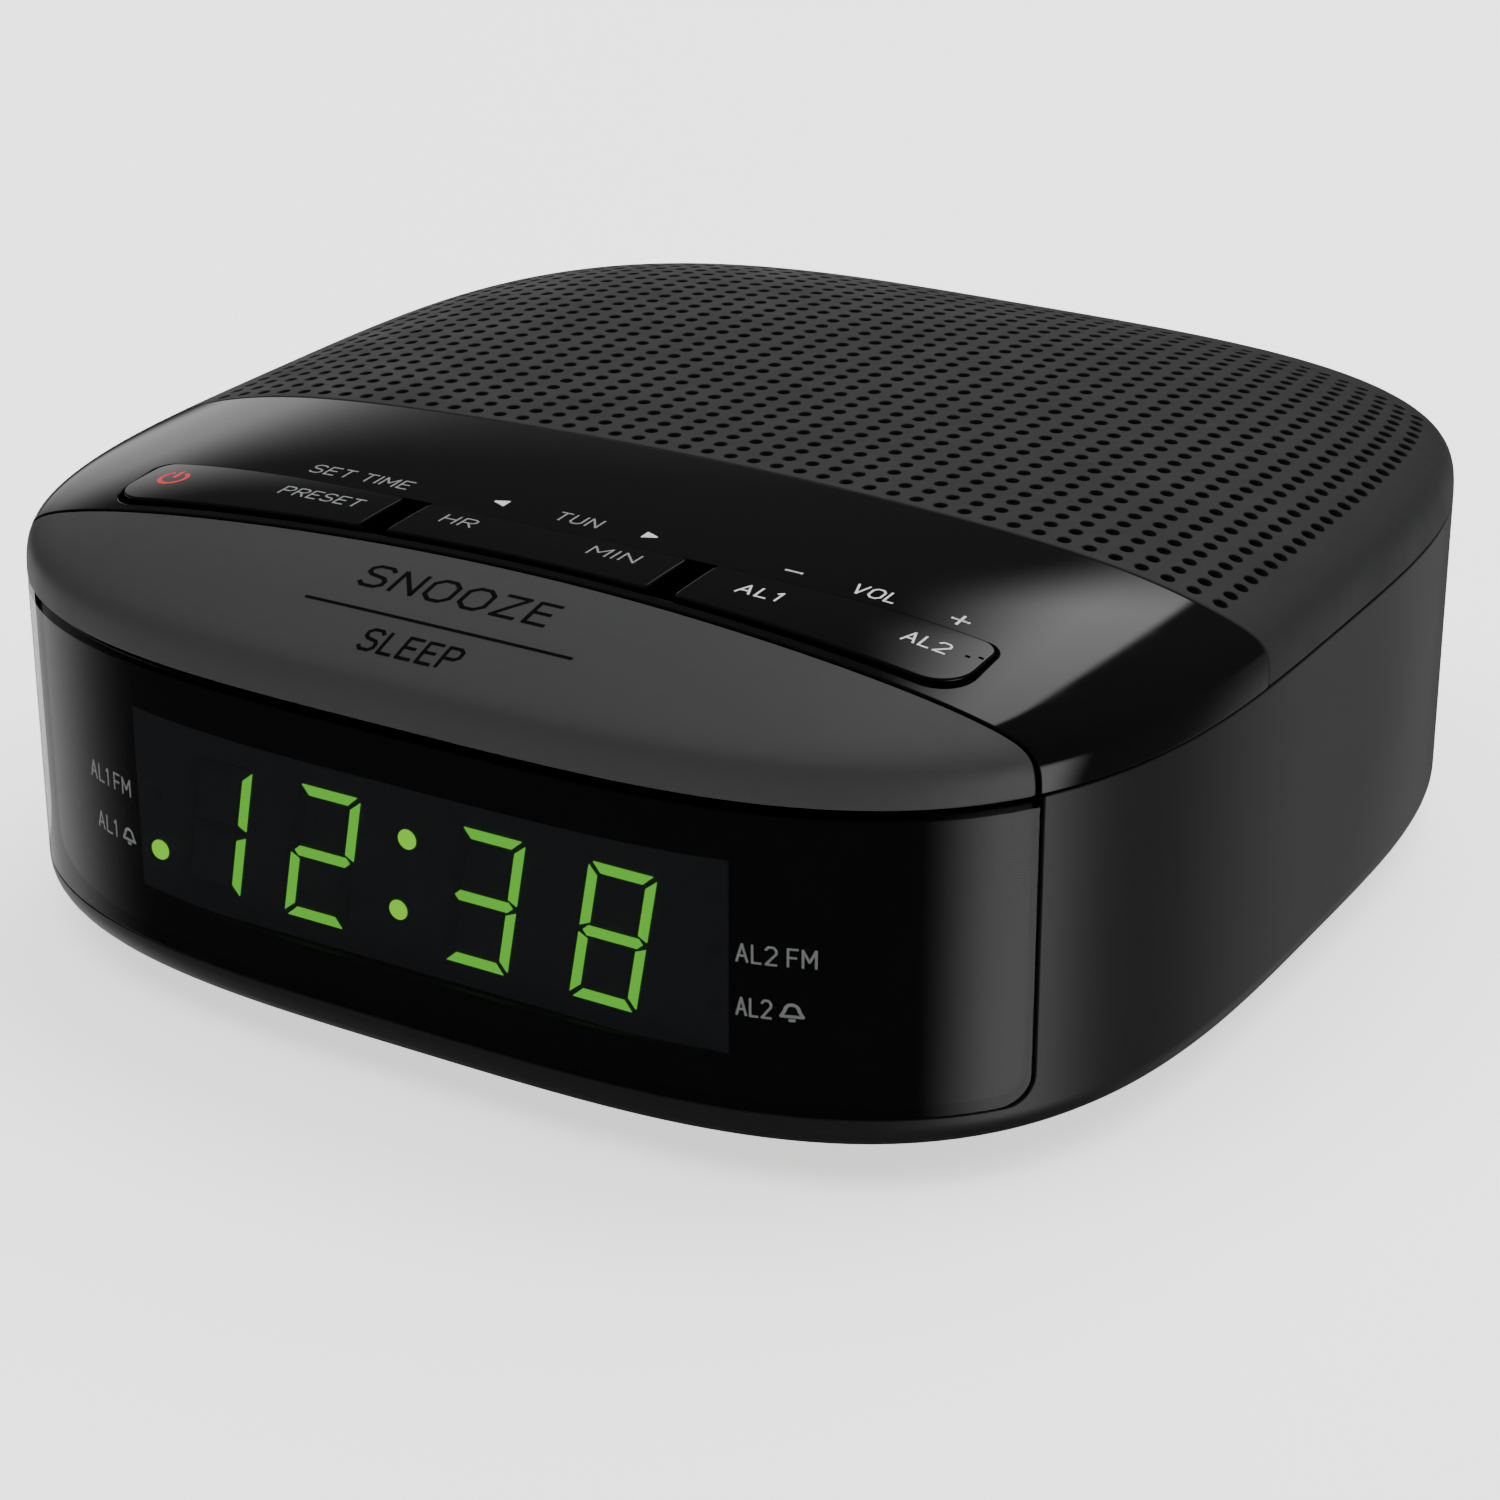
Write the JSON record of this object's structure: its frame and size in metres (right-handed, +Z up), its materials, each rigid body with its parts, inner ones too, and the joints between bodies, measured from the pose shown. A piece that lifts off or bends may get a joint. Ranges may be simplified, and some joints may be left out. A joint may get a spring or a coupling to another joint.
{
  "type": "clock radio",
  "caption": "Compact bedside clock radio with rounded-square case, digital display behind a smoked lens, snooze bar, key row and perforated grille.",
  "frame": {"origin": "centre of the case outline on the plane of the feet", "axes": "+X right, +Y to the rear (the display faces -Y), +Z up"},
  "size_m": [0.136, 0.1376, 0.0504],
  "materials": {
    "case_plastic": "satin, faint grain",
    "base_plastic": "matte",
    "smoked_lens": "polished",
    "gloss_panel": "polished",
    "snooze_plastic": "matte, fine grain",
    "grille_plastic": "matte, fine grain",
    "frame_plastic": "matte",
    "module_plastic": "satin",
    "digit_light": "lit",
    "circuit_board": "satin",
    "ribbon": "satin",
    "switch_plastic": "matte",
    "plunger_plastic": "matte",
    "spring_steel": "bright",
    "capacitor_sleeve": "gloss",
    "chip_plastic": "matte",
    "coil_can": "satin",
    "sink_metal": "satin",
    "basket_steel": "satin",
    "magnet": "matte",
    "cone_paper": "matte",
    "surround_rubber": "matte",
    "gasket_foam": "matte",
    "wire_jacket": "satin",
    "core_steel": "satin",
    "bobbin_tape": "gloss",
    "bush_rubber": "matte",
    "foot_rubber": "matte",
    "screw_steel": "blackened"
  },
  "bodies": {
    "case": {"case_body": "case_plastic", "bottom_cover": "base_plastic", "front_lens": "smoked_lens", "control_panel": "gloss_panel", "grille_cover": "grille_plastic", "inner_frame": "frame_plastic", "display_module": "module_plastic", "display_segments": "digit_light", "display_board": "circuit_board", "ribbon_cable": "ribbon", "key_board": "circuit_board", "key_switches": "switch_plastic", "snooze_switch": "switch_plastic", "snooze_springs": "spring_steel", "main_board": "circuit_board", "capacitors": "capacitor_sleeve", "radio_chips": "chip_plastic", "tuning_coils": "coil_can", "heat_sink": "sink_metal", "speaker_basket": "basket_steel", "speaker_magnet": "magnet", "speaker_surround": "surround_rubber", "speaker_gasket": "gasket_foam", "speaker_wires": "wire_jacket", "transformer_core": "core_steel", "transformer_bobbin": "bobbin_tape", "battery_springs": "spring_steel", "battery_plates": "spring_steel", "cord_bush": "bush_rubber", "foot_front_left": "foot_rubber", "foot_front_right": "foot_rubber", "foot_rear_left": "foot_rubber", "foot_rear_right": "foot_rubber", "case_screws": "screw_steel", "frame_screws": "screw_steel", "board_screws": "screw_steel", "speaker_screws": "screw_steel"},
    "snooze": {"snooze_bar": "snooze_plastic", "snooze_plunger": "plunger_plastic"},
    "power_key": {"key_power": "gloss_panel"},
    "tuning_key": {"key_tuning": "gloss_panel"},
    "alarm_key": {"key_alarm": "gloss_panel"},
    "door": {"battery_door": "base_plastic"},
    "cone": {"speaker_cone": "cone_paper"}
  },
  "joints": [
    {"name": "snooze_press", "type": "slide", "parent": "case", "child": "snooze", "axis": [0, 0, -1], "range_m": [0, 0.0008], "stiffness_N_per_m": 1500, "springref_m": -0.0005, "deforming": ["snooze_springs"]},
    {"name": "power_press", "type": "hinge", "parent": "case", "child": "power_key", "pos_m": [-0.0343, -0.0398, 0.0494], "axis": [1, 0, 0], "range_deg": [0, 2.5], "stiffness_Nm_per_rad": 0.17, "springref_deg": -1.15},
    {"name": "tuning_press", "type": "hinge", "parent": "case", "child": "tuning_key", "pos_m": [0, -0.0398, 0.0494], "axis": [1, 0, 0], "range_deg": [0, 2.5], "stiffness_Nm_per_rad": 0.17, "springref_deg": -1.15},
    {"name": "alarm_press", "type": "hinge", "parent": "case", "child": "alarm_key", "pos_m": [0.0343, -0.0398, 0.0494], "axis": [1, 0, 0], "range_deg": [0, 2.5], "stiffness_Nm_per_rad": 0.17, "springref_deg": -1.15},
    {"name": "battery_door_swing", "type": "hinge", "parent": "case", "child": "door", "pos_m": [0, 0.0333, 0.0033], "axis": [1, 0, 0], "range_deg": [0, 70]},
    {"name": "cone_travel", "type": "slide", "parent": "case", "child": "cone", "axis": [0, 0, 1], "range_m": [-0.0008, 0.0008], "stiffness_N_per_m": 1500}
  ]
}
